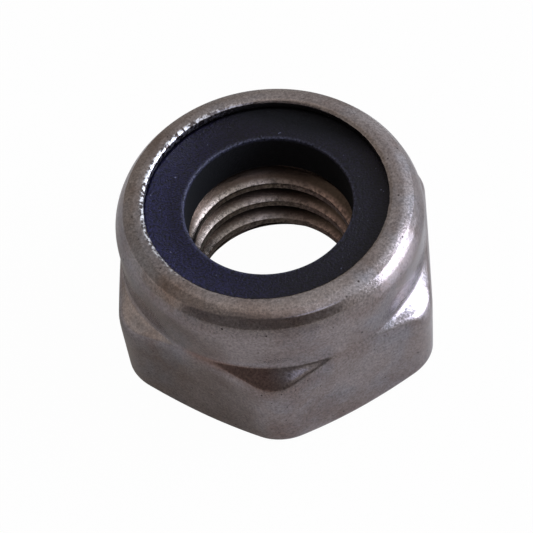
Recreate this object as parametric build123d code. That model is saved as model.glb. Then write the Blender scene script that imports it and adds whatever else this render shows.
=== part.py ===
"""M8 prevailing-torque lock nut with a captive nylon ring.

The nut is a cold-formed hexagon of stainless steel with a thin collar standing on its shoulder.
A nylon ring sits in the pocket that the collar encloses, and the collar's rim is rolled over the
ring to trap it.  Both pieces are turned about the thread axis apart from the six spanner flats.

Units are millimetres.  The origin is the centre of the bearing face, and +Z is the thread axis,
pointing towards the nylon end.  One corner of the hexagon points along -Y.
"""

from build123d import *
import os
from math import radians, tan

# ---- Hexagon ----
across_flats = 13.0  # spanner size
total_height = 7.64  # bearing face to the crown of the rolled rim
shoulder_height = 4.76  # bearing face to the foot of the collar
corner_round = 1.7  # rounding that cold forming leaves on the six upright corners
shoulder_angle = 30.0  # fall of the shoulder from the collar out to the corners, degrees
shoulder_edge_round = 0.30  # where the shoulder runs out into the flats
bearing_setback = 0.10  # flats to the rim of the bearing face, measured inwards
bearing_angle = 30.0  # rise of the corner chamfer beside the bearing face, degrees
bearing_edge_round = 0.12  # break round the rim of the bearing face

# ---- Thread bore, plain at the diameter of the thread's crests ----
thread_minor_diameter = 6.647
bearing_mouth_diameter = 8.75  # countersink at the bearing face
bearing_mouth_angle = 45.0  # its wall from the thread axis, degrees
seat_mouth_diameter = 7.6  # countersink under the nylon ring
seat_mouth_angle = 60.0  # its wall from the thread axis, degrees

# ---- Collar ----
collar_setback = 0.14  # flats to the collar's outer wall, measured inwards
collar_wall = 0.75  # steel left round the pocket

# ---- Rolled rim; insets run inwards from the collar's outer wall, drops down from the crown ----
rim_bend_drop = 0.98  # corner where the wall starts to lean inwards
rim_bend_round = 1.00
rim_roll_inset = 0.24  # corner where it leans over further, on to the cone of the rolling die
rim_roll_drop = 0.47
rim_roll_round = 0.60
rim_crease_inset = 0.45  # ring that the die leaves round the slope of the crown
rim_crease_drop = 0.17
rim_crease_round = 0.12
rim_crown_inset = 0.82  # outer edge of the flat crown
rim_crown_round = 0.60
rim_crown_width = 0.42
rim_brow_round = 0.18  # inner edge of the flat crown
rim_overhang = 0.62  # reach of the lip over the ring, from the pocket wall
rim_lip_drop = 0.08  # upper edge of the lip's end face
rim_lip_thickness = 0.36  # height of the lip's end face
rim_lip_lean = 0.04  # outward lean of the end face over that height
rim_lip_round = 0.07
rim_hollow_drop = 0.92  # corner between the pocket wall and the lip's underside

# ---- Nylon ring ----
ring_bore_diameter = 6.9  # under the thread's major diameter, so that the bolt forms its own way
ring_height = 2.03  # seat to the upper edge of the ring's bore
ring_drop = 0.49  # crown to the upper edge of the ring's bore
ring_dish = 0.06  # sag of the exposed top between the lip and the bore
ring_clearance = 0.01  # gap left to the pocket wall and to the lip's underside
ring_bore_edge_round = 0.16
ring_foot_chamfer = 0.20

# ---- Sizes that follow ----
flat_radius = across_flats / 2
bearing_radius = flat_radius - bearing_setback
bore_radius = thread_minor_diameter / 2
ring_top = total_height - ring_drop
seat_height = ring_top - ring_height

collar_radius = flat_radius - collar_setback
pocket_radius = collar_radius - collar_wall
roll_radius = collar_radius - rim_roll_inset
crease_radius = collar_radius - rim_crease_inset
crown_radius = collar_radius - rim_crown_inset
brow_radius = crown_radius - rim_crown_width
lip_radius = pocket_radius - rim_overhang
lip_foot_radius = lip_radius + rim_lip_lean
lip_height = total_height - rim_lip_drop
lip_foot_height = lip_height - rim_lip_thickness
hollow_height = total_height - rim_hollow_drop

Corner = tuple[float, float, float]  # radius, height and rounding of one corner of a section


def turned(corners: list[Corner]) -> Part:
    """Solid turned about Z from the corners of its section."""
    points = [(radius, height) for radius, height, _ in corners]
    roundings = [rounding for _, _, rounding in corners]
    outline = FilletPolyline(*points, radius=roundings, close=True)
    return revolve(Plane.XZ * make_face(outline), Axis.Z)


def hexagon_blank() -> Part:
    """Hexagon with rounded corners, cut to its shoulder and chamfered beside the bearing face."""
    outline = RegularPolygon(flat_radius, 6, major_radius=False, rotation=30)
    bar = extrude(fillet(outline.vertices(), corner_round), total_height)
    reach = across_flats  # well past the corners
    bearing_rise = (reach - bearing_radius) * tan(radians(bearing_angle))
    shoulder_fall = (reach - collar_radius) * tan(radians(shoulder_angle))
    envelope = turned(
        [
            (0, 0, 0),
            (bearing_radius, 0, bearing_edge_round),
            (reach, bearing_rise, 0),
            (reach, shoulder_height - shoulder_fall, 0),
            (collar_radius, shoulder_height, 0),
            (0, shoulder_height, 0),
        ]
    )
    blank = bar & envelope
    return fillet(shoulder_rim(blank), shoulder_edge_round)


def shoulder_rim(blank: Part) -> ShapeList[Edge]:
    """Curved edges of the blank where its shoulder meets the flats and the upright corners."""
    curves = (GeomType.HYPERBOLA, GeomType.BSPLINE)
    upper_half = blank.edges().filter_by_position(Axis.Z, shoulder_height / 2, shoulder_height)
    return upper_half.filter_by(lambda edge: edge.geom_type in curves)


def rolled_collar() -> Part:
    """Collar with its rim rolled over, and the floor of the pocket that carries the ring."""
    root = min(shoulder_height, seat_height) / 2  # inside the hexagon
    return turned(
        [
            (0, root, 0),
            (collar_radius, root, 0),
            (collar_radius, total_height - rim_bend_drop, rim_bend_round),
            (roll_radius, total_height - rim_roll_drop, rim_roll_round),
            (crease_radius, total_height - rim_crease_drop, rim_crease_round),
            (crown_radius, total_height, rim_crown_round),
            (brow_radius, total_height, rim_brow_round),
            (lip_radius, lip_height, rim_lip_round),
            (lip_foot_radius, lip_foot_height, 0),
            (pocket_radius, hollow_height, 0),
            (pocket_radius, seat_height, 0),
            (0, seat_height, 0),
        ]
    )


def thread_bore() -> Part:
    """Room for the thread: the crest bore with a countersink at each end."""
    bearing_mouth = bearing_mouth_diameter / 2
    seat_mouth = seat_mouth_diameter / 2
    bearing_depth = (bearing_mouth - bore_radius) / tan(radians(bearing_mouth_angle))
    seat_depth = (seat_mouth - bore_radius) / tan(radians(seat_mouth_angle))
    return turned(
        [
            (0, 0, 0),
            (bearing_mouth, 0, 0),
            (bore_radius, bearing_depth, 0),
            (bore_radius, seat_height - seat_depth, 0),
            (seat_mouth, seat_height, 0),
            (0, seat_height, 0),
        ]
    )


def nut_body() -> Part:
    """Steel nut: hexagon, collar and bore in one piece."""
    pocket = Pos(Z=seat_height) * Cylinder(
        pocket_radius, total_height, align=(Align.CENTER, Align.CENTER, Align.MIN)
    )
    return hexagon_blank() - pocket + rolled_collar() - thread_bore()


def nylon_insert() -> Part:
    """Nylon ring, seated on the pocket floor and squeezed to the shape of the lip's underside."""
    bore = ring_bore_diameter / 2
    outer = pocket_radius - ring_clearance
    foot_top = seat_height + ring_foot_chamfer
    rim_top = hollow_height - ring_clearance
    lip_meet = lip_foot_radius, lip_foot_height - ring_clearance
    top_middle = (lip_meet[0] + bore) / 2, (lip_meet[1] + ring_top) / 2 - ring_dish
    return turned(
        [
            (bore, foot_top, 0),
            (bore + ring_foot_chamfer, seat_height, 0),
            (outer - ring_foot_chamfer, seat_height, 0),
            (outer, foot_top, 0),
            (outer, rim_top, 0),
            (*lip_meet, 0),
            (*top_middle, 0),
            (bore, ring_top, ring_bore_edge_round),
        ]
    )


def export_all() -> None:
    """Write one STEP file for each piece."""
    os.makedirs("parts", exist_ok=True)
    pieces = {"nut_body": nut_body(), "nylon_insert": nylon_insert()}
    for name, piece in pieces.items():
        export_step(piece, f"parts/{name}.step")
        print(f"{name}: {piece.volume:.1f} mm3, {len(piece.solids())} solid")


export_all()
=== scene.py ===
"""A nylon insert lock nut: a satin stainless nut whose rolled collar holds a dark blue nylon ring.

The part's sizes are in millimetres until a mesh, a tree or a pattern takes them, and the sizes of
its surroundings are in metres. The origin is the centre of the bearing face, and +Z is the thread
axis, towards the nylon end.
"""
import logging
import math
from dataclasses import dataclass
from enum import Enum
from typing import Any

import bmesh
import bpy
from bpy.types import ID, Material, Node, NodeSocket, NodeTree, Object, World
from mathutils import Matrix, Vector


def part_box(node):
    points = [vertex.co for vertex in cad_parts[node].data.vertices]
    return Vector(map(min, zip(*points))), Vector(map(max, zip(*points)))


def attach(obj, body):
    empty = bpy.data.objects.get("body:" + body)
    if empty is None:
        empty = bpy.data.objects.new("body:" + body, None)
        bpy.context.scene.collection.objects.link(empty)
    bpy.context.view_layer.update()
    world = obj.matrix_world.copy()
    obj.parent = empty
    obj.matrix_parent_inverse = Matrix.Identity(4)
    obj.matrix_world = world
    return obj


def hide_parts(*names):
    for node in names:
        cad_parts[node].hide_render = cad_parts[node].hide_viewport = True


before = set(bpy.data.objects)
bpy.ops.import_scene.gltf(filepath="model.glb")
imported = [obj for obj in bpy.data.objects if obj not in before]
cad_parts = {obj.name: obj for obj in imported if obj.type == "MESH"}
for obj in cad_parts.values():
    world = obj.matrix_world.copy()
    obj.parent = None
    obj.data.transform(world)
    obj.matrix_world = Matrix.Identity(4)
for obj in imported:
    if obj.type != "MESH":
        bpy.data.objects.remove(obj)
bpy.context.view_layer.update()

MM = 0.001  # a millimetre in metres
TURN = 2 * math.pi
SECTOR = math.pi / 6  # angle from the middle of a flat to a corner
WELD = 0.001 * MM  # points closer than this become one
SLIVER = 0.0005 * MM  # edges shorter than this are taken out
SAME = 1e-9  # heights closer than this, in metres, are equal
SHARP = math.radians(38)  # faces that meet at more than this keep a sharp edge

MATH = "ShaderNodeMath"
VECTOR = "ShaderNodeVectorMath"
MIX = "ShaderNodeMix"
RANGE = "ShaderNodeMapRange"
NOISE = "ShaderNodeTexNoise"
NAMED = "GeometryNodeInputNamedAttribute"
STORE = "GeometryNodeStoreNamedAttribute"

Span = tuple[float, float]  # the lower and the upper end of a range
Way = tuple[float, float, float]  # a direction
Source = Node | NodeSocket  # what a link can start from
Inputs = dict[str, tuple[str, Any]]  # socket type and value for each input of a tree

log = logging.getLogger("lock_nut")


class Slot(Enum):
    """The finishes that the part's record names."""

    STAINLESS = "stainless_steel"
    NYLON = "blue_nylon"


class Band(Enum):
    """The mesh attributes that shape a tree's result or tell a finish what it is on."""

    AT_FLAT = "at_flat"
    AT_CORNER = "at_corner"
    TURN = "turn"
    RAGGED = "ragged"
    THREAD = "thread_wall"
    LIP = "lip_band"
    SHOULDER = "shoulder"


def linear(colour: str) -> tuple[float, float, float, float]:
    """Turns an sRGB hex colour into the linear values that a shader reads.

    Args:
        colour: The colour as "#RRGGBB".

    Returns:
        Linear red, green and blue, and an alpha of 1.
    """
    parts = [int(colour[i : i + 2], 16) / 255 for i in (1, 3, 5)]
    red, green, blue = (v / 12.92 if v <= 0.04045 else ((v + 0.055) / 1.055) ** 2.4 for v in parts)
    return red, green, blue, 1.0


def direction(azimuth: float, elevation: float) -> Vector:
    """Gives the unit vector that points to an azimuth and an elevation in degrees."""
    a, e = math.radians(azimuth), math.radians(elevation)
    return Vector((math.cos(a) * math.cos(e), math.sin(a) * math.cos(e), math.sin(e)))


def into_scene(name: str, data: ID) -> Object:
    """Makes an object of a mesh, a lamp or a camera and links it to the scene.

    Args:
        name: Name of the object.
        data: What the object shows.

    Returns:
        The object, at the origin.
    """
    obj = bpy.data.objects.new(name, data)
    bpy.context.scene.collection.objects.link(obj)
    return obj


def empty_tree(block: Material | World) -> NodeTree:
    """Gives a material or a world a tree with no nodes in it.

    Args:
        block: The material or the world.

    Returns:
        The tree.
    """
    block.use_nodes = True
    block.node_tree.nodes.clear()
    return block.node_tree


def add(tree: NodeTree, kind: str, put: dict | tuple = (), **settings: Any) -> Node:
    """Adds one node to a tree, sets its properties and fills its inputs.

    Inputs and outputs that the node's own settings switch off don't count.

    Args:
        tree: The tree that receives the node.
        kind: The node's type.
        put: What goes to the inputs, by name or in their order: a plain value, a socket to link, or
            a node, which stands for its first output.
        settings: The node's own properties.

    Returns:
        The new node.
    """
    node = tree.nodes.new(kind)
    for name, value in settings.items():
        setattr(node, name, value)
    sockets = [socket for socket in node.inputs if socket.enabled]
    for key, value in put.items() if isinstance(put, dict) else enumerate(put):
        socket = next(s for s in sockets if s.name == key) if isinstance(key, str) else sockets[key]
        if isinstance(value, Node):
            value = next(output for output in value.outputs if output.enabled)
        if isinstance(value, NodeSocket):
            tree.links.new(value, socket)
        else:
            socket.default_value = value
    return node


@dataclass(frozen=True)
class Corner:
    """One corner of a section: radius, height and how softly the outline turns there, in mm."""

    radius: float
    height: float
    softness: float = 0.0


@dataclass(frozen=True)
class Outline:
    """A section through the axis: straight runs whose corners are rounded by a soft, even blend."""

    corners: tuple[Corner, ...]
    stations: tuple[int, ...]

    def points(self) -> list[Vector]:
        """Samples the outline, closer together towards each corner.

        Returns:
            Places in metres, with the radius as X and the height as Z.
        """
        at = [Vector((c.radius, 0.0, c.height)) * MM for c in self.corners]
        runs = [b - a for a, b in zip(at, at[1:])]
        ways = [run.normalized() for run in runs]
        starts = [sum(run.length for run in runs[:i]) for i in range(len(runs))]
        places = []
        for run, start, count in zip(runs, starts, self.stations):
            for step in range(count):
                along = start + run.length * (1 - math.cos(math.pi * step / count)) / 2
                place = at[0] + ways[0] * along
                for old, new, knee, corner in zip(ways, ways[1:], starts[1:], self.corners[1:]):
                    place += (new - old) * self._ramp(along - knee, corner.softness * MM)
                places.append(place)
        return places + [at[-1]]

    @staticmethod
    def _ramp(past: float, softness: float) -> float:
        """Blends the start of a new run over a corner's softness.

        Args:
            past: Distance past the corner, below 0 before it.
            softness: Softness of the corner, in the same unit.

        Returns:
            How far the outline has gone the new way.
        """
        if softness <= 0:
            return max(past, 0.0)
        reach = past / softness
        share = 0.5 * (1 + math.erf(reach / math.sqrt(2)))
        return past * share + softness * math.exp(-reach * reach / 2) / math.sqrt(TURN)

    def share(self, first: int, last: int, fade: int) -> list[float]:
        """Marks the points from one corner to another.

        Args:
            first: Number of the corner where the mark begins.
            last: Number of the corner where it ends.
            fade: Number of points over which it comes and goes.

        Returns:
            One value from 0 to 1 for each point.
        """
        low, high = sum(self.stations[:first]), sum(self.stations[:last])
        count = sum(self.stations) + 1
        return [max(0.0, min(1.0, 1 + min(i - low, high - i) / fade)) for i in range(count)]


def section_object(
    name: str, at_flat: Outline, at_corner: Outline, marks: dict[Band, list[float]]
) -> Object:
    """Makes a chain of edges that carries a section as it is at a flat and at a corner.

    Args:
        name: Name of the object.
        at_flat: The section through the middle of a flat.
        at_corner: The section through a corner, with as many points.
        marks: Values for each point that the finishes and the tree read.

    Returns:
        The object that a tree then turns round the axis.
    """
    flat, corner = at_flat.points(), at_corner.points()
    mesh = bpy.data.meshes.new(name)
    mesh.from_pydata(flat, [(i, i + 1) for i in range(len(flat) - 1)], [])
    for band, places in ((Band.AT_FLAT, flat), (Band.AT_CORNER, corner)):
        carried = mesh.attributes.new(band.value, "FLOAT_VECTOR", "POINT")
        carried.data.foreach_set("vector", [v for place in places for v in place])
    for band, values in marks.items():
        mesh.attributes.new(band.value, "FLOAT", "POINT").data.foreach_set("value", values)
    return into_scene(name, mesh)


def new_tree(name: str, inputs: Inputs) -> tuple[NodeTree, Node]:
    """Starts a geometry tree with named inputs.

    Args:
        name: Name of the tree.
        inputs: The tree's inputs.

    Returns:
        The tree and its input node.
    """
    tree = bpy.data.node_groups.new(name, "GeometryNodeTree")
    for way in ("INPUT", "OUTPUT"):
        tree.interface.new_socket("Geometry", in_out=way, socket_type="NodeSocketGeometry")
    for key, (kind, _) in inputs.items():
        tree.interface.new_socket(key, in_out="INPUT", socket_type=kind)
    return tree, add(tree, "NodeGroupInput")


def read(given: Node, *names: str) -> list[NodeSocket]:
    """Finds some of a tree's inputs by name, on its input node."""
    return [given.outputs[name] for name in names]


def grow(obj: Object, tree: NodeTree, inputs: Inputs, name: str) -> Object:
    """Runs a tree on an object and keeps the result as a plain mesh with its normals outwards.

    Args:
        obj: The object that the tree starts from; it is removed afterwards.
        tree: The geometry tree.
        inputs: The tree's inputs.
        name: Name of the finished object.

    Returns:
        The finished object, at the origin.
    """
    modifier = obj.modifiers.new("tree", "NODES")
    modifier.node_group = tree
    for item in tree.interface.items_tree:
        if item.in_out == "INPUT" and item.name in inputs:
            modifier[item.identifier] = inputs[item.name][1]
    evaluated = obj.evaluated_get(bpy.context.evaluated_depsgraph_get())
    mesh = bpy.data.meshes.new_from_object(evaluated)
    obj.modifiers.clear()
    bpy.data.objects.remove(obj)
    work = bmesh.new()
    work.from_mesh(mesh)
    bmesh.ops.remove_doubles(work, verts=work.verts, dist=WELD)
    bmesh.ops.dissolve_degenerate(work, edges=work.edges, dist=SLIVER)
    bmesh.ops.recalc_face_normals(work, faces=work.faces)
    work.to_mesh(mesh)
    work.free()
    mesh.name = name
    mesh.shade_smooth()
    mesh.set_sharp_from_angle(angle=SHARP)
    return into_scene(name, mesh)


def sweep_nodes(tree: NodeTree, given: Node) -> tuple[Node, Node]:
    """Turns the section round the axis, before it has its real radii.

    Args:
        tree: The geometry tree.
        given: The tree's input node.

    Returns:
        The swept mesh and the angle round the axis.
    """
    columns = given.outputs["Columns"]
    profile = add(tree, "GeometryNodeMeshToCurve", {"Mesh": given.outputs["Geometry"]})
    ring = {"Resolution": columns, "Radius": 1.0}
    circle = add(tree, "GeometryNodeCurvePrimitiveCircle", ring, mode="RADIUS")
    share = add(tree, MATH, (add(tree, "GeometryNodeInputIndex"), columns), operation="DIVIDE")
    carried = {"Geometry": circle, "Name": Band.TURN.value, "Value": share}
    path = add(tree, STORE, carried, data_type="FLOAT", domain="POINT")
    swept = add(tree, "GeometryNodeCurveToMesh", {"Curve": path, "Profile Curve": profile})
    turn = add(tree, NAMED, (Band.TURN.value,), data_type="FLOAT")
    return swept, add(tree, MATH, (turn, TURN), operation="MULTIPLY")


def place_nodes(
    tree: NodeTree, mesh: Source, angle: Source, radius: Source, height: Source
) -> Node:
    """Puts each point of a mesh at an angle, radius and height.

    Args:
        tree: The geometry tree.
        mesh: The mesh.
        angle: Angle round the axis.
        radius: Distance from the axis.
        height: Height above the bearing face.

    Returns:
        The placed mesh.
    """
    ways = [add(tree, MATH, (angle,), operation=way) for way in ("COSINE", "SINE")]
    across = [add(tree, MATH, (way, radius), operation="MULTIPLY") for way in ways]
    place = add(tree, "ShaderNodeCombineXYZ", (*across, height))
    return add(tree, "GeometryNodeSetPosition", {"Geometry": mesh, "Position": place})


def finish_nodes(tree: NodeTree, mesh: Source, given: Node) -> None:
    """Ends a tree: welds the mesh, makes it real and gives it its material.

    Args:
        tree: The geometry tree.
        mesh: The mesh.
        given: The tree's input node.
    """
    welded = add(tree, "GeometryNodeMergeByDistance", {"Geometry": mesh, "Distance": WELD})
    real = add(tree, "GeometryNodeRealizeInstances", {"Geometry": welded})
    material = given.outputs["Material"]
    dressed = add(tree, "GeometryNodeSetMaterial", {"Geometry": real, "Material": material})
    add(tree, "NodeGroupOutput", {"Geometry": dressed})


@dataclass
class NutBody:
    """The steel body: hexagon, sloped shoulder, collar rolled over the ring, right-hand thread.

    Lengths are in mm. Slopes, chamfers and ways are angles in radians.
    """

    columns: int = 360  # of faces, round the axis
    across_flats: float = 13.0
    corner_round: float = 1.7
    bearing_radius: float = 6.4
    bearing_slope: float = math.radians(30)
    bearing_softness: float = 0.03
    rim_softness: float = 0.10
    shoulder_height: float = 4.76
    shoulder_slope: float = math.radians(30)
    edge_softness: float = 0.36
    collar_radius: float = 6.36
    foot_softness: float = 0.24
    bend: Corner = Corner(6.36, 6.66, 0.16)
    roll: Corner = Corner(6.15, 7.14, 0.06)
    crease: Corner = Corner(5.91, 7.47, 0.02)
    crown: Corner = Corner(5.54, 7.64, 0.10)
    brow: Corner = Corner(5.12, 7.64, 0.04)
    lip: Corner = Corner(4.99, 7.56, 0.03)
    lip_foot: Corner = Corner(5.03, 7.20, 0.03)
    pocket_radius: float = 5.61
    pocket_softness: float = 0.03
    hollow_height: float = 6.72
    seat_height: float = 5.12
    # Points on each run of the section, the corners where its shoulder and its lip begin and end,
    # and the number of points over which the marks on them fade.
    stations: tuple[int, ...] = (3, 6, 18, 12, 16, 10, 8, 8, 8, 6, 6, 3, 4, 3)
    shoulder_run: tuple[int, int] = (3, 4)
    lip_run: tuple[int, int] = (9, 11)
    fade: int = 3
    lip_fade: int = 8
    # Thread and countersinks. Half the width of a crest and of a root is a share of the pitch.
    seat_mouth: float = 3.8
    seat_chamfer: float = math.radians(35)
    bearing_mouth: float = 4.375
    bearing_chamfer: float = math.radians(40)
    pitch: float = 1.25
    crest_radius: float = 3.3235
    root_radius: float = 4.02
    crest_half: float = 1 / 8
    root_half: float = 1 / 16
    thread_softness: float = 0.08
    thread_phase: float = -0.02
    rows_per_pitch: int = 20
    # Ragged inner edge of the lip, which also lies a little off the axis.
    ragged_depth: float = 0.10
    ragged_scale: float = 14.0
    ragged_detail: float = 4.0
    ragged_roughness: float = 0.85
    seed: float = 4.0
    lip_wander: float = 0.09
    wander_way: float = math.radians(135)

    @property
    def apothem(self) -> float:
        """Distance from the axis to a flat."""
        return self.across_flats / 2

    @property
    def corner_radius(self) -> float:
        """Distance from the axis to a rounded corner."""
        return (self.apothem - self.corner_round) / math.cos(SECTOR) + self.corner_round

    def outline(self, wall: float) -> Outline:
        """Gives the section where the hexagon's wall is at a given radius.

        Args:
            wall: Radius of the wall.

        Returns:
            The section, from the bearing face's mouth round the outside to the ring's seat.
        """
        rim = (wall - self.bearing_radius) * math.tan(self.bearing_slope)
        fall = (wall - self.collar_radius) * math.tan(self.shoulder_slope)
        corners = (
            Corner(self.bearing_mouth, 0.0),
            Corner(self.bearing_radius, 0.0, self.bearing_softness),
            Corner(wall, rim, self.rim_softness),
            Corner(wall, self.shoulder_height - fall, self.edge_softness),
            Corner(self.collar_radius, self.shoulder_height, self.foot_softness),
            self.bend,
            self.roll,
            self.crease,
            self.crown,
            self.brow,
            self.lip,
            self.lip_foot,
            Corner(self.pocket_radius, self.hollow_height, self.pocket_softness),
            Corner(self.pocket_radius, self.seat_height, self.pocket_softness),
            Corner(self.seat_mouth, self.seat_height),
        )
        return Outline(corners, self.stations)

    def inputs(self, finish: Material) -> Inputs:
        """Lists the tree's inputs, with their values in metres.

        Args:
            finish: The steel's material.

        Returns:
            The inputs.
        """
        lengths = {
            "Flat Radius": self.apothem,
            "Corner Radius": self.corner_radius,
            "Corner Round": self.corner_round,
            "Pitch": self.pitch,
            "Crest Radius": self.crest_radius,
            "Root Radius": self.root_radius,
            "Thread Softness": self.thread_softness,
            "Bearing Mouth": self.bearing_mouth,
            "Seat Mouth": self.seat_mouth,
            "Seat Cone Start": self.seat_mouth - self.seat_height * math.tan(self.seat_chamfer),
            "Seat Height": self.seat_height,
            "Ragged Depth": self.ragged_depth,
            "Lip Wander": self.lip_wander,
        }
        number = "NodeSocketFloat"
        return {
            "Columns": ("NodeSocketInt", self.columns),
            **{name: (number, length * MM) for name, length in lengths.items()},
            "Bearing Cone Slope": (number, -math.tan(self.bearing_chamfer)),
            "Seat Cone Slope": (number, math.tan(self.seat_chamfer)),
            "Wander Way": (number, self.wander_way),
            "Seed": (number, self.seed),
            "Material": ("NodeSocketMaterial", finish),
        }

    def hexagon_nodes(self, tree: NodeTree, given: Node, angle: Source) -> Node:
        """Works out how far out the hexagon's wall is: 0 at the middle of a flat and 1 at a corner.

        Args:
            tree: The geometry tree.
            given: The tree's input node.
            angle: Angle round the axis.

        Returns:
            The share of the way from flat to corner.
        """
        flat, corner, rounding = read(given, "Flat Radius", "Corner Radius", "Corner Round")
        # A corner points along -Y, and a whole turn more keeps the angle above 0.
        from_corner = math.pi / 2 + TURN
        shifted = add(tree, MATH, (angle, from_corner), operation="ADD")
        off = add(tree, MATH, (shifted, SECTOR), operation="PINGPONG")
        tilt = add(tree, MATH, (SECTOR, off), operation="SUBTRACT")
        slant = add(tree, MATH, (tilt,), operation="COSINE")
        straight = add(tree, MATH, (flat, slant), operation="DIVIDE")
        centre = add(tree, MATH, (corner, rounding), operation="SUBTRACT")
        ways = [add(tree, MATH, (off,), operation=way) for way in ("COSINE", "SINE")]
        along, aside = (add(tree, MATH, (way, centre), operation="MULTIPLY") for way in ways)
        squares = [add(tree, MATH, (v, v), operation="MULTIPLY") for v in (rounding, aside)]
        left = add(tree, MATH, tuple(squares), operation="SUBTRACT")
        kept = add(tree, MATH, (left, 0.0), operation="MAXIMUM")
        root = add(tree, MATH, (kept,), operation="SQRT")
        curved = add(tree, MATH, (along, root), operation="ADD")
        flat_half = (self.apothem - self.corner_round) * math.tan(SECTOR)
        curve_end = SECTOR - math.atan(flat_half / self.apothem)
        near = add(tree, MATH, (off, curve_end), operation="LESS_THAN")
        wall = add(tree, MIX, (near, straight, curved))
        return add(tree, RANGE, (wall, flat, corner), clamp=False)

    def skin_nodes(self, tree: NodeTree, given: Node) -> Node:
        """Makes everything but the thread: the section turned, and drawn out to the hexagon.

        Args:
            tree: The geometry tree.
            given: The tree's input node.

        Returns:
            The mesh.
        """
        swept, angle = sweep_nodes(tree, given)
        share = self.hexagon_nodes(tree, given, angle)
        flat, corner = (
            add(tree, NAMED, (band.value,), data_type="FLOAT_VECTOR")
            for band in (Band.AT_FLAT, Band.AT_CORNER)
        )
        place = add(tree, MIX, (share, flat, corner), data_type="VECTOR", clamp_factor=False)
        split = add(tree, "ShaderNodeSeparateXYZ", (place,))
        ragged, lip = (
            add(tree, NAMED, (band.value,), data_type="FLOAT") for band in (Band.RAGGED, Band.LIP)
        )
        seed, most, wander, away = read(given, "Seed", "Ragged Depth", "Lip Wander", "Wander Way")
        ways = [add(tree, MATH, (angle,), operation=way) for way in ("COSINE", "SINE")]
        spot = add(tree, "ShaderNodeCombineXYZ", (*ways, seed))
        bites = {
            "Vector": spot,
            "Scale": self.ragged_scale,
            "Detail": self.ragged_detail,
            "Roughness": self.ragged_roughness,
        }
        bite = add(tree, MATH, (add(tree, NOISE, bites), 0.5), operation="SUBTRACT")
        depth = add(tree, MATH, (bite, most), operation="MULTIPLY")
        bitten = add(tree, MATH, (depth, ragged, split.outputs["X"]), operation="MULTIPLY_ADD")
        turned = add(tree, MATH, (angle, away), operation="SUBTRACT")
        facing = add(tree, MATH, (turned,), operation="COSINE")
        sway = add(tree, MATH, (facing, wander), operation="MULTIPLY")
        radius = add(tree, MATH, (sway, lip, bitten), operation="MULTIPLY_ADD")
        return place_nodes(tree, swept, angle, radius, split.outputs["Z"])

    def thread_nodes(self, tree: NodeTree, given: Node) -> Node:
        """Makes the threaded wall, a sheet whose rows climb one pitch a turn between both mouths.

        Args:
            tree: The geometry tree.
            given: The tree's input node.

        Returns:
            The mesh.
        """
        pitch, crest, root = read(given, "Pitch", "Crest Radius", "Root Radius")
        soft, seat = read(given, "Thread Softness", "Seat Height")
        bearing_mouth, seat_mouth = read(given, "Bearing Mouth", "Seat Mouth")
        fall, rise, start = read(given, "Bearing Cone Slope", "Seat Cone Slope", "Seat Cone Start")
        rows = math.ceil((self.seat_height + self.pitch) / self.pitch * self.rows_per_pitch)
        grid = add(tree, "GeometryNodeMeshGrid", (1.0, 1.0, self.columns + 1, rows + 1))
        marked = {"Geometry": grid, "Name": Band.THREAD.value, "Value": 1.0}
        sheet = add(tree, STORE, marked, data_type="FLOAT", domain="POINT")
        spot = add(tree, "ShaderNodeSeparateXYZ", (add(tree, "GeometryNodeInputPosition"),))
        turn, row = (add(tree, MATH, (spot.outputs[way], 0.5), operation="ADD") for way in "XY")

        # The lowest row starts one pitch under the bearing face, and both ends are cut off level.
        pitches = add(tree, MATH, (row, rows / self.rows_per_pitch, -1.0), operation="MULTIPLY_ADD")
        climb = add(tree, MATH, (pitches, turn), operation="ADD")
        raw = add(tree, MATH, (climb, pitch), operation="MULTIPLY")
        low = add(tree, MATH, (raw, 0.0), operation="MAXIMUM")
        height = add(tree, MATH, (low, seat), operation="MINIMUM")

        # Place across the thread's profile: 0 in the middle of a crest, 0.5 in that of a root.
        risen = add(tree, MATH, (height, pitch), operation="DIVIDE")
        lead = add(tree, MATH, (risen, turn), operation="SUBTRACT")
        whole_pitches = 8  # keep the phase above zero
        phase = add(tree, MATH, (lead, whole_pitches + self.thread_phase), operation="ADD")
        off = add(tree, MATH, (phase, 0.5), operation="PINGPONG")
        slope = self.crest_half, 0.5 - self.root_half
        flank = add(tree, RANGE, (off, *slope, crest, root), clamp=False)
        valley = add(tree, MATH, (flank, root, soft), operation="SMOOTH_MIN")
        wall = add(tree, MATH, (valley, crest, soft), operation="SMOOTH_MAX")

        # The countersinks cut the thread away, and the sheet's ends meet their rims exactly.
        below = add(tree, MATH, (height, fall, bearing_mouth), operation="MULTIPLY_ADD")
        above = add(tree, MATH, (height, rise, start), operation="MULTIPLY_ADD")
        mouths = add(tree, MATH, (below, above), operation="MAXIMUM")
        radius = add(tree, MATH, (wall, mouths), operation="MAXIMUM")
        for level, mouth in ((0.0, bearing_mouth), (seat, seat_mouth)):
            pair = height, level, SAME
            edge = add(tree, "FunctionNodeCompare", pair, data_type="FLOAT", operation="EQUAL")
            radius = add(tree, "GeometryNodeSwitch", (edge, radius, mouth), input_type="FLOAT")
        angle = add(tree, MATH, (turn, TURN), operation="MULTIPLY")
        return place_nodes(tree, sheet, angle, radius, height)

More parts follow.
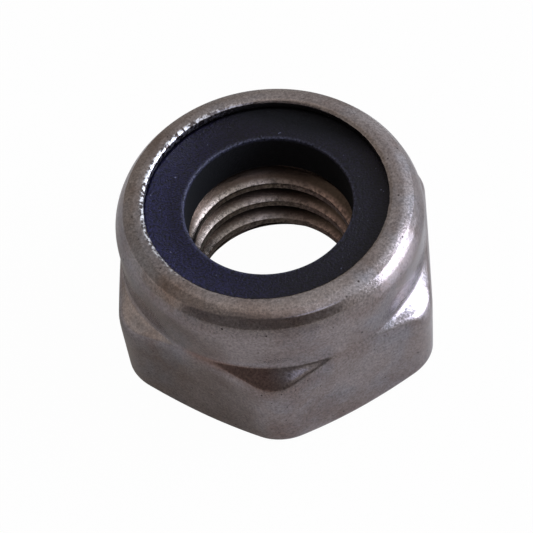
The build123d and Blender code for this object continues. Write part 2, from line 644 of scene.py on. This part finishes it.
    def build(self, finish: Material) -> Object:
        """Builds the whole steel body as one closed mesh.

        Args:
            finish: The steel's material.

        Returns:
            The finished piece.
        """
        flat, corner = self.outline(self.apothem), self.outline(self.corner_radius)
        marks = {
            Band.RAGGED: flat.share(*self.lip_run, self.fade),
            Band.LIP: flat.share(*self.lip_run, self.lip_fade),
            Band.SHOULDER: flat.share(*self.shoulder_run, self.fade),
        }
        section = section_object("nut_section", flat, corner, marks)
        inputs = self.inputs(finish)
        tree, given = new_tree("hexagon_nut", inputs)
        joined = add(tree, "GeometryNodeJoinGeometry")
        for mesh in (self.skin_nodes(tree, given), self.thread_nodes(tree, given)):
            tree.links.new(mesh.outputs[0], joined.inputs[0])
        finish_nodes(tree, joined, given)
        return grow(section, tree, inputs, "steel_body")


@dataclass
class NylonInsert:
    """The nylon ring under the rolled lip, dished on top and rounded into its bore, in mm."""

    columns: int = 288
    bore_radius: float = 3.45
    foot: float = 5.12
    foot_chamfer: float = 0.2
    foot_softness: float = 0.02
    top: float = 7.15
    outer_radius: float = 5.60
    shoulder: Corner = Corner(5.60, 6.71, 0.03)
    lip_meeting: Corner = Corner(5.03, 7.19, 0.05)
    dish: Corner = Corner(4.225, 7.115, 0.12)
    rim_softness: float = 0.09
    bore_softness: float = 0.03
    # Points on each run of the section, and the corner marked as rubbed and painted with a
    # highlight: the bore's upper edge.
    stations: tuple[int, ...] = (3, 3, 5, 5, 10, 10, 14, 4, 3)
    rim_corner: int = 6
    rim_fade: int = 3

    def outline(self) -> Outline:
        """Gives the ring's section.

        Returns:
            The section, as a loop that starts and ends under the ring.
        """
        middle = Corner((self.bore_radius + self.outer_radius) / 2, self.foot)
        chamfer_top = self.foot + self.foot_chamfer
        corners = (
            middle,
            Corner(self.outer_radius - self.foot_chamfer, self.foot, self.foot_softness),
            Corner(self.outer_radius, chamfer_top, self.foot_softness),
            self.shoulder,
            self.lip_meeting,
            self.dish,
            Corner(self.bore_radius, self.top, self.rim_softness),
            Corner(self.bore_radius, chamfer_top, self.bore_softness),
            Corner(self.bore_radius + self.foot_chamfer, self.foot, self.bore_softness),
            middle,
        )
        return Outline(corners, self.stations)

    def build(self, finish: Material) -> Object:
        """Builds the ring as one closed mesh.

        Args:
            finish: The nylon's material.

        Returns:
            The finished piece.
        """
        outline = self.outline()
        marks = {Band.RAGGED: outline.share(self.rim_corner, self.rim_corner, self.rim_fade)}
        section = section_object("ring_section", outline, outline, marks)
        inputs = {
            "Columns": ("NodeSocketInt", self.columns),
            "Material": ("NodeSocketMaterial", finish),
        }
        tree, given = new_tree("nylon_ring", inputs)
        swept, angle = sweep_nodes(tree, given)
        place = add(tree, NAMED, (Band.AT_FLAT.value,), data_type="FLOAT_VECTOR")
        split = add(tree, "ShaderNodeSeparateXYZ", (place,))
        placed = place_nodes(tree, swept, angle, split.outputs["X"], split.outputs["Z"])
        finish_nodes(tree, placed, given)
        return grow(section, tree, inputs, "nylon_ring")


@dataclass(frozen=True)
class Pattern:
    """A noise pattern: the size of its patches in mm, and the settings that make it rougher."""

    size: float
    detail: float = 2.0
    roughness: float = 0.5
    distortion: float = 0.0

    def inputs(self, where: Source) -> dict[str, Any]:
        """Gives what the inputs of a noise texture get to draw the pattern.

        Args:
            where: The place on the piece.

        Returns:
            A value for each input, by name.
        """
        return {
            "Vector": where,
            "Scale": 1 / (self.size * MM),
            "Detail": self.detail,
            "Roughness": self.roughness,
            "Distortion": self.distortion,
        }


@dataclass(frozen=True)
class Spots:
    """Round spots, at most one in each cell: the spacing is in mm, and widths are shares of it."""

    spacing: float
    growth: float  # radius of the largest spot, before rarity is taken off
    rarity: float  # taken off every spot's radius, so that most cells have none
    edge: float  # width of a spot's soft edge
    strength: float  # cover in the middle of a spot


def draw_spots(tree: NodeTree, where: Source, spots: Spots, channel: str) -> Node:
    """Draws scattered spots on the piece.

    Args:
        tree: The material's tree.
        where: The place on the piece.
        spots: Their sizes.
        channel: The colour channel of the cells that decides each spot's size.

    Returns:
        The cover: 0 between the spots.
    """
    cells = add(tree, "ShaderNodeTexVoronoi", {"Vector": where, "Scale": 1 / (spots.spacing * MM)})
    chance = add(tree, "ShaderNodeSeparateColor", (cells.outputs["Color"],)).outputs[channel]
    reach = add(tree, MATH, (chance, spots.growth, -spots.rarity), operation="MULTIPLY_ADD")
    near = add(tree, MATH, (cells.outputs["Distance"], reach), operation="SUBTRACT")
    return add(tree, RANGE, (near, 0.0, spots.edge, spots.strength, 0.0))


@dataclass(frozen=True)
class SatinStainless:
    """A2 stainless steel, cold formed and tumbled: a grey metal with a soft, even sheen.

    Lengths are in mm. The dies leave smooth faces, and the tumbling dulls them just enough to blur
    what they mirror. Handling has left faint brown and bluish stains, and the lip is torn. Painted
    shade darkens part of the shoulder and the thread's roots, and painted light reddens the
    thread's right end and brightens the torn lip's left side.
    """

    name: str = "satin_stainless_steel"
    colour: str = "#9A918F"
    roughness: Span = (0.12, 0.25)

    # Cooler and brown patches a few millimetres wide, which keep large faces from looking plain.
    cool: str = "#918E92"
    drift: Pattern = Pattern(3.1, 3.0, 0.6, 0.6)
    cool_range: Span = (0.48, 0.66)
    stain: str = "#7F706A"
    cloud: Pattern = Pattern(2.2, 5.0, 0.6)
    stain_range: Span = (0.42, 0.72)

    # The tumbled grain and the pits. Real ones are a few hundredths of a millimetre wide, too fine
    # to show, so they are drawn coarser. The grain mottles the colour, the sheen and the relief.
    grain: Pattern = Pattern(0.10, 2.0, 0.7)
    grain_range: Span = (0.3, 0.7)
    speckle: Span = (0.66, 1.34)
    pit: str = "#3A3230"
    pits: Spots = Spots(0.45, 0.10, 0.02, 0.05, 1.0)

    # Painted shade on part of the shoulder: a darker, browner tint that ends softly to the left and
    # right of its middle, and stays faint on the rest of the shoulder.
    shoulder_shade: str = "#8B766F"
    shoulder_shade_middle: float = -1.7
    shoulder_shade_range: Span = (1.4, 2.1)
    shoulder_shade_cover: Span = (1.0, 0.1)

    # Thread: an oily film, patchy and redder on one side, where the red is partly painted light,
    # over grime and painted shade that gather in the roots.
    thread_roughness: float = 0.27
    oily: str = "#A3968B"
    rust_and_light: str = "#AC9086"
    rust_and_light_range: Span = (0.0, 2.5)
    scratch: Pattern = Pattern(0.16, 3.0, 0.8)
    scratch_range: Span = (0.36, 0.60)
    scratch_light: Span = (0.35, 1.25)
    # Grime and painted shade: darker towards the roots of the thread.
    grime_and_shade: str = "#55483F"
    grime_and_shade_range: Span = (3.50, 3.72)
    grime_and_shade_waver: float = 0.25

    # The lip's torn edge: bright chips of bare steel with dark gaps, strongest on the left, where
    # the chips are also a painted highlight and the gaps painted shade.
    torn_roughness: float = 0.34
    torn_and_highlight: str = "#E4E2E4"
    gap_and_shade: str = "#453D39"
    chip: Pattern = Pattern(0.17, 1.0)
    chip_range: Span = (0.44, 0.56)
    burr_and_highlight_way: Way = (-0.97, 0.26, 0.0)
    burr_and_highlight_range: Span = (2.0, 4.3)
    burr_and_highlight_cover: Span = (0.05, 0.9)

    # A faint ripple under the grain, which bends the reflections a little.
    ripple: Pattern = Pattern(1.1)
    ripple_weight: float = 3.0
    bump: float = 0.35
    bump_height: float = 0.012

    def make(self) -> Material:
        """Builds the material.

        Returns:
            The material.
        """
        material = bpy.data.materials.new(self.name)
        tree = empty_tree(material)
        where = add(tree, "ShaderNodeTexCoord").outputs["Object"]
        spot = add(tree, "ShaderNodeSeparateXYZ", (where,))
        shoulder, ragged, thread = (
            add(tree, "ShaderNodeAttribute", attribute_name=band.value).outputs["Fac"]
            for band in (Band.SHOULDER, Band.RAGGED, Band.THREAD)
        )
        patterns = (self.cloud, self.drift, self.grain, self.scratch, self.chip, self.ripple)
        cloud, drift, grain, scratch, chip, ripple = (
            add(tree, NOISE, pattern.inputs(where)) for pattern in patterns
        )

        cooler = add(tree, RANGE, (drift, *self.cool_range))
        plain = add(tree, MIX, (cooler, linear(self.colour), linear(self.cool)), data_type="RGBA")
        stained = add(tree, RANGE, (cloud, *self.stain_range))
        tone = add(tree, MIX, (stained, plain, linear(self.stain)), data_type="RGBA")
        # Painted shade: a darker, browner band across the shoulder, strongest around its middle.
        aside = add(tree, MATH, (spot.outputs["X"], self.shoulder_shade_middle * MM), operation="SUBTRACT")
        away = add(tree, MATH, (aside,), operation="ABSOLUTE")
        kept = add(tree, RANGE, (away, *(v * MM for v in self.shoulder_shade_range), *self.shoulder_shade_cover))
        shoulder_shaded = add(tree, MATH, (shoulder, kept), operation="MULTIPLY")
        shoulder_shade_tone = add(tree, MIX, (shoulder_shaded, tone, linear(self.shoulder_shade)), data_type="RGBA")
        pits = draw_spots(tree, where, self.pits, "Red")
        pitted = add(tree, MIX, (pits, shoulder_shade_tone, linear(self.pit)), data_type="RGBA")

        # Redder towards the right: partly the film's colour, partly painted light.
        right = add(tree, RANGE, (spot.outputs["X"], *(v * MM for v in self.rust_and_light_range)))
        film_and_light = add(tree, MIX, (right, linear(self.oily), linear(self.rust_and_light)), data_type="RGBA")
        blotch = add(tree, RANGE, (scratch, *self.scratch_range, *self.scratch_light))
        patchy = add(tree, VECTOR, (film_and_light, blotch), operation="SCALE")
        # Darker towards the roots of the thread: grime and painted shade.
        level = add(tree, VECTOR, (where, (1.0, 1.0, 0.0)), operation="MULTIPLY")
        across = add(tree, VECTOR, (level,), operation="LENGTH")
        deep = add(tree, MATH, (grain, self.grime_and_shade_waver * MM, across), operation="MULTIPLY_ADD")
        root = add(tree, RANGE, (deep, *(v * MM for v in self.grime_and_shade_range)))
        grimed_and_shaded = add(tree, MIX, (root, patchy, linear(self.grime_and_shade)), data_type="RGBA")
        oiled = add(tree, MIX, (thread, pitted, grimed_and_shaded), data_type="RGBA")

        # Bright chips and dark gaps on the torn edge, strongest on the left: torn steel, with
        # painted highlight and painted shade.
        bright = add(tree, RANGE, (chip, *self.chip_range))
        beads = add(tree, MIX, (bright, linear(self.gap_and_shade), linear(self.torn_and_highlight)), data_type="RGBA")
        side = add(tree, VECTOR, (where, self.burr_and_highlight_way), operation="DOT_PRODUCT")
        burred_and_lit = add(tree, RANGE, (side, *(v * MM for v in self.burr_and_highlight_range), *self.burr_and_highlight_cover))
        edge = add(tree, MATH, (ragged, burred_and_lit), operation="MULTIPLY")
        bared = add(tree, MIX, (edge, oiled, beads), data_type="RGBA")
        speckle = add(tree, RANGE, (grain, *self.grain_range, *self.speckle))
        shown = add(tree, VECTOR, (bared, speckle), operation="SCALE")

        matt = add(tree, RANGE, (grain, *self.grain_range, *self.roughness))
        cut = add(tree, MIX, (thread, matt, self.thread_roughness))
        rough = add(tree, MIX, (edge, cut, self.torn_roughness))
        relief = add(tree, MATH, (ripple, self.ripple_weight, grain), operation="MULTIPLY_ADD")
        bump = add(tree, "ShaderNodeBump", {
            "Height": relief, "Strength": self.bump, "Distance": self.bump_height * MM
        })
        shader = add(tree, "ShaderNodeBsdfPrincipled", {
            "Base Color": shown, "Metallic": 1.0, "Roughness": rough, "Normal": bump
        })
        add(tree, "ShaderNodeOutputMaterial", {"Surface": shader})
        return material


@dataclass(frozen=True)
class MouldedNylon:
    """Dark blue PA66 nylon, moulded: a deep navy with a dull, waxy sheen.

    Lengths are in mm. Moulding leaves a smooth skin with little gloss, and dust and scuffs show
    pale on it; the pale upper edge of the bore is partly a painted highlight. The bore is matt and
    darkened with painted shade, and so is the top towards the back, while painted shade deepens the
    navy towards the right.
    """

    name: str = "moulded_navy_nylon"
    colour: str = "#181734"
    roughness: float = 0.40
    ior: float = 1.53
    specular: float = 0.25

    # The navy turns deeper towards the right, by way of clouds: painted shade, with some tone that
    # differs at random.
    deep: str = "#0D0918"
    deep_way: Way = (1.0, 0.3, 0.0)
    deep_range: Span = (-0.45, 0.35)
    cloud: Pattern = Pattern(5.0, 4.0, 0.55)

    # Painted shade: the bore is matt and painted dark below bore_range, a height, and plain above
    # it.
    # The top is painted darker and made matt in the same way over a distance towards the back.
    painted_shade: str = "#08080C"
    shade_way: Way = (0.35, 0.94, 0.0)
    shade_span: Span = (3.5, 4.4)
    bore_range: Span = (6.95, 7.06)
    bore_roughness: float = 0.85

    # The skin's grain is too fine to show and is drawn coarser. Dust lies in specks, and the upper
    # edge of the bore is painted pale: partly rubbed, partly a painted highlight on its rounding.
    grain: Pattern = Pattern(0.09, 2.0, 0.7)
    grain_range: Span = (0.3, 0.7)
    speckle: Span = (-0.2, 2.2)
    dust_and_sheen: str = "#6E7086"
    specks: Spots = Spots(0.42, 0.13, 0.05, 0.04, 0.7)
    rub_and_highlight: float = 0.35
    bump: float = 0.9
    bump_height: float = 0.05

    def make(self) -> Material:
        """Builds the material.

        Returns:
            The material.
        """
        material = bpy.data.materials.new(self.name)
        tree = empty_tree(material)
        where = add(tree, "ShaderNodeTexCoord").outputs["Object"]
        height = add(tree, "ShaderNodeSeparateXYZ", (where,)).outputs["Z"]
        rim = add(tree, "ShaderNodeAttribute", attribute_name=Band.RAGGED.value).outputs["Fac"]
        cloud = add(tree, NOISE, self.cloud.inputs(where))
        grain = add(tree, NOISE, self.grain.inputs(where))

        # Painted shade: the navy deepens towards the right, broken up by clouds.
        along = add(tree, VECTOR, (where, self.deep_way), operation="DOT_PRODUCT")
        side = add(tree, MATH, (along, 1 / (self.cloud.size * MM), cloud), operation="MULTIPLY_ADD")
        side_shade = add(tree, RANGE, (side, *self.deep_range))
        tone = add(tree, MIX, (side_shade, linear(self.colour), linear(self.deep)), data_type="RGBA")
        specks = draw_spots(tree, where, self.specks, "Green")
        dusty = add(tree, MIX, (specks, tone, linear(self.dust_and_sheen)), data_type="RGBA")
        speckle = add(tree, RANGE, (grain, *self.grain_range, *self.speckle))
        grained = add(tree, VECTOR, (dusty, speckle), operation="SCALE")

        # Painted shade: darker down the bore and on the top towards the back, where it is also
        # matt.
        shaded_bore = add(tree, RANGE, (height, *(v * MM for v in self.bore_range), 1.0, 0.0))
        far = add(tree, VECTOR, (where, self.shade_way), operation="DOT_PRODUCT")
        shaded_top = add(tree, RANGE, (far, *(v * MM for v in self.shade_span)))
        shade_and_matt = add(tree, MATH, (shaded_bore, shaded_top), operation="MAXIMUM")
        with_shade = add(tree, MIX, (shade_and_matt, grained, linear(self.painted_shade)), data_type="RGBA")
        # The bore's upper edge turns pale: a rub, and a painted highlight on its rounding.
        speckled_rim = add(tree, MATH, (rim, speckle), operation="MULTIPLY")
        rub_and_highlight_cover = add(tree, MATH, (speckled_rim, self.rub_and_highlight), operation="MULTIPLY")
        shown = add(tree, MIX, (rub_and_highlight_cover, with_shade, linear(self.dust_and_sheen)), data_type="RGBA")

        rough = add(tree, MIX, (shade_and_matt, self.roughness, self.bore_roughness))
        bump = add(tree, "ShaderNodeBump", {
            "Height": grain, "Strength": self.bump, "Distance": self.bump_height * MM
        })
        shader = add(tree, "ShaderNodeBsdfPrincipled", {
            "Base Color": shown,
            "Roughness": rough,
            "IOR": self.ior,
            "Specular IOR Level": self.specular,
            "Normal": bump,
        })
        add(tree, "ShaderNodeOutputMaterial", {"Surface": shader})
        return material


@dataclass(frozen=True)
class Lamp:
    """A soft rectangular lamp that stands round the part and faces it: degrees and metres.

    Its brightness is that of its face, and stays the same when its size changes.
    """

    name: str
    azimuth: float
    elevation: float
    distance: float
    width: float
    height: float
    brightness: float
    colour: str

    def build(self, aim: Vector) -> None:
        """Sets the lamp up.

        Args:
            aim: The point that it faces.
        """
        light = bpy.data.lights.new(self.name, "AREA")
        light.shape = "RECTANGLE"
        light.size, light.size_y = self.width, self.height
        light.energy = self.brightness * math.pi * self.width * self.height
        light.color = linear(self.colour)[:3]
        way = direction(self.azimuth, self.elevation)
        lamp = into_scene(self.name, light)
        lamp.location = aim + way * self.distance
        lamp.rotation_mode = "QUATERNION"
        lamp.rotation_quaternion = way.to_track_quat("Z", "Y")


@dataclass(frozen=True)
class Flag:
    """A grey cloth hung in an arch that keeps light off one side: degrees and metres.

    It is part of the surroundings and is never seen itself.
    """

    name: str
    azimuth: float
    spread: float
    low: float
    high: float
    distance: float
    colour: str = "#857F79"
    steps: int = 12

    def build(self, aim: Vector) -> None:
        """Hangs the cloth round a point.

        Args:
            aim: The point that it faces.
        """
        material = bpy.data.materials.new(self.name)
        tree = empty_tree(material)
        felt = add(tree, "ShaderNodeBsdfDiffuse", {"Color": linear(self.colour)})
        add(tree, "ShaderNodeOutputMaterial", {"Surface": felt})
        count = self.steps + 1
        places = []
        for row in range(count):
            elevation = self.low + (self.high - self.low) * row / self.steps
            for column in range(count):
                azimuth = self.azimuth + self.spread * (2 * column / self.steps - 1)
                places.append(aim + direction(azimuth, elevation) * self.distance)
        firsts = [row * count + column for row in range(self.steps) for column in range(self.steps)]
        faces = [(first, first + 1, first + count + 1, first + count) for first in firsts]
        mesh = bpy.data.meshes.new(self.name)
        mesh.from_pydata(places, [], faces)
        mesh.materials.append(material)
        cloth = into_scene(self.name, mesh)
        cloth.visible_camera = False


@dataclass
class Studio:
    """A white floor and backdrop, a sky with a glow to one side, soft lamps and two grey flags."""

    floor_size: float = 2.0
    floor_gap: float = 0.01 * MM
    floor_gloss: float = 0.04
    card_colour: str = "#D9D4CE"
    card_roughness: float = 0.15
    backdrop_share: float = 0.98
    sky_gloss: float = 0.2
    sky_colour: str = "#FFEFDD"
    sky_light: float = 0.232
    glow_colour: str = "#DEECFF"
    glow_light: float = 1.45
    glow_way: tuple[float, float] = (20, 24)
    glow_spread: float = 2.3
    lamps: tuple[Lamp, ...] = (
        Lamp("low_window", -1.2, 13, 0.30, 0.188, 0.138, 7.5, "#DFE8FF"),
        Lamp("high_window", 11, 35.2, 0.30, 0.134, 0.110, 7.0, "#DFE8FF"),
        Lamp("sky_card", -60, 54, 0.40, 0.14, 0.20, 0.8, "#C2D2FF"),
        Lamp("back_card", 116, 70, 0.40, 0.17, 0.17, 0.20, "#FFF4EA"),
        Lamp("top_card", -88, 82, 0.40, 0.26, 0.11, 0.22, "#FFF0EC"),
        Lamp("left_card", 188, 14, 0.40, 0.40, 0.17, 0.25, "#FFF2E6"),
    )
    flags: tuple[Flag, ...] = (
        Flag("front_flag", -111, 37, 2, 73, 0.28),
        Flag("side_flag", -61.5, 13.5, 5, 23, 0.28),
    )

    def backdrop_factor(self, tree: NodeTree, gloss: float) -> Node:
        """Gives the share of plain white that a ray sees: all of it straight on, some in a gloss.

        Args:
            tree: The material's or the world's tree.
            gloss: The share that a glossy ray sees.

        Returns:
            The factor.
        """
        path = add(tree, "ShaderNodeLightPath").outputs
        straight = path["Is Camera Ray"], path["Is Transmission Ray"]
        seen = add(tree, MATH, straight, operation="MAXIMUM")
        return add(tree, MATH, (path["Is Glossy Ray"], gloss, seen), operation="MULTIPLY_ADD")

    def build_floor(self) -> None:
        """Lays the floor, just under the bearing face."""
        material = bpy.data.materials.new("white_card")
        tree = empty_tree(material)
        seen = self.backdrop_factor(tree, self.floor_gloss)
        share = add(tree, MATH, (seen, self.backdrop_share), operation="MULTIPLY")
        card = add(tree, "ShaderNodeBsdfPrincipled", {
            "Base Color": linear(self.card_colour), "Roughness": self.card_roughness
        })
        white = add(tree, "ShaderNodeEmission", {"Strength": 1.0})
        mixed = add(tree, "ShaderNodeMixShader", (share, card, white))
        add(tree, "ShaderNodeOutputMaterial", {"Surface": mixed})
        half = self.floor_size / 2
        rim = ((-half, -half), (half, -half), (half, half), (-half, half))
        mesh = bpy.data.meshes.new("floor")
        mesh.from_pydata([(x, y, -self.floor_gap) for x, y in rim], [], [(0, 1, 2, 3)])
        mesh.materials.append(material)
        floor = into_scene("floor", mesh)

    def build_world(self) -> None:
        """Lights the sky evenly, with a glow to one side, and shows it as plain white."""
        world = bpy.data.worlds.new("studio")
        tree = empty_tree(world)
        ray = add(tree, "ShaderNodeTexCoord").outputs["Generated"]
        facing = add(tree, VECTOR, (ray, direction(*self.glow_way)), operation="DOT_PRODUCT")
        ahead = add(tree, MATH, (facing, 0.0), operation="MAXIMUM")
        glow = add(tree, MATH, (ahead, self.glow_spread), operation="POWER")
        lit = add(tree, MATH, (glow, self.glow_light), operation="MULTIPLY")
        bright = add(tree, VECTOR, (linear(self.glow_colour)[:3], lit), operation="SCALE")
        base = add(tree, VECTOR, (linear(self.sky_colour)[:3], self.sky_light), operation="SCALE")
        light = add(tree, VECTOR, (bright, base), operation="ADD")
        seen = self.backdrop_factor(tree, self.sky_gloss)
        blend = add(tree, MIX, (seen, light, (1.0, 1.0, 1.0, 1.0)), data_type="RGBA")
        sky = add(tree, "ShaderNodeBackground", {"Color": blend, "Strength": 1.0})
        add(tree, "ShaderNodeOutputWorld", {"Surface": sky})
        bpy.context.scene.world = world

    def build(self, aim: Vector) -> None:
        """Builds the floor, the world, the lamps and the flags.

        Args:
            aim: The point that the lamps face.
        """
        self.build_floor()
        self.build_world()
        for item in (*self.lamps, *self.flags):
            item.build(aim)


@dataclass
class Viewpoint:
    """The camera, high in front of one corner and rolled a little: degrees and millimetres."""

    azimuth: float = 6.515
    elevation: float = 54.161
    roll: float = -8.085
    distance: float = 73.658
    aim_height: float = 3.9
    offset: tuple[float, float] = (-0.3315, -0.6695)
    focal_pixels: float = 1745.84
    image_pixels: float = 533.0
    sensor_width: float = 36.0
    clip: Span = (1.0, 10000.0)

    def build(self) -> None:
        """Sets the camera up and makes it the scene's own."""
        a, e, r = (math.radians(v) for v in (self.azimuth, self.elevation, self.roll))
        back = Vector((math.sin(a) * math.cos(e), -math.cos(a) * math.cos(e), math.sin(e)))
        level = Vector((math.cos(a), math.sin(a), 0.0))
        rise = back.cross(level)
        right = level * math.cos(r) + rise * math.sin(r)
        up = rise * math.cos(r) - level * math.sin(r)
        aim = Vector((0, 0, self.aim_height))
        place = aim + back * self.distance + right * self.offset[0] + up * self.offset[1]
        data = bpy.data.cameras.new("camera")
        data.sensor_width = self.sensor_width
        data.lens = self.focal_pixels / self.image_pixels * self.sensor_width
        data.clip_start, data.clip_end = (v * MM for v in self.clip)
        camera = into_scene("camera", data)
        turned = Matrix((right, up, back)).transposed().to_4x4()
        turned.translation = place * MM
        camera.matrix_world = turned
        bpy.context.scene.camera = camera


def main() -> None:
    """Builds the camera, the two pieces and their surroundings."""
    logging.basicConfig(level=logging.INFO)
    Viewpoint().build()
    low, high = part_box("nut_body")
    for maker, finish, node, slot in (
        (NutBody(), SatinStainless(), "nut_body", Slot.STAINLESS),
        (NylonInsert(), MouldedNylon(), "nylon_insert", Slot.NYLON),
    ):
        piece = maker.build(finish.make())
        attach(piece, "root")
        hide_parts(node)
        log.info("%s: %d faces", piece.name, len(piece.data.polygons))
    Studio().build((low + high) / 2)
    bpy.context.scene.view_settings.view_transform = "Standard"


if __name__ == "__main__":
    main()
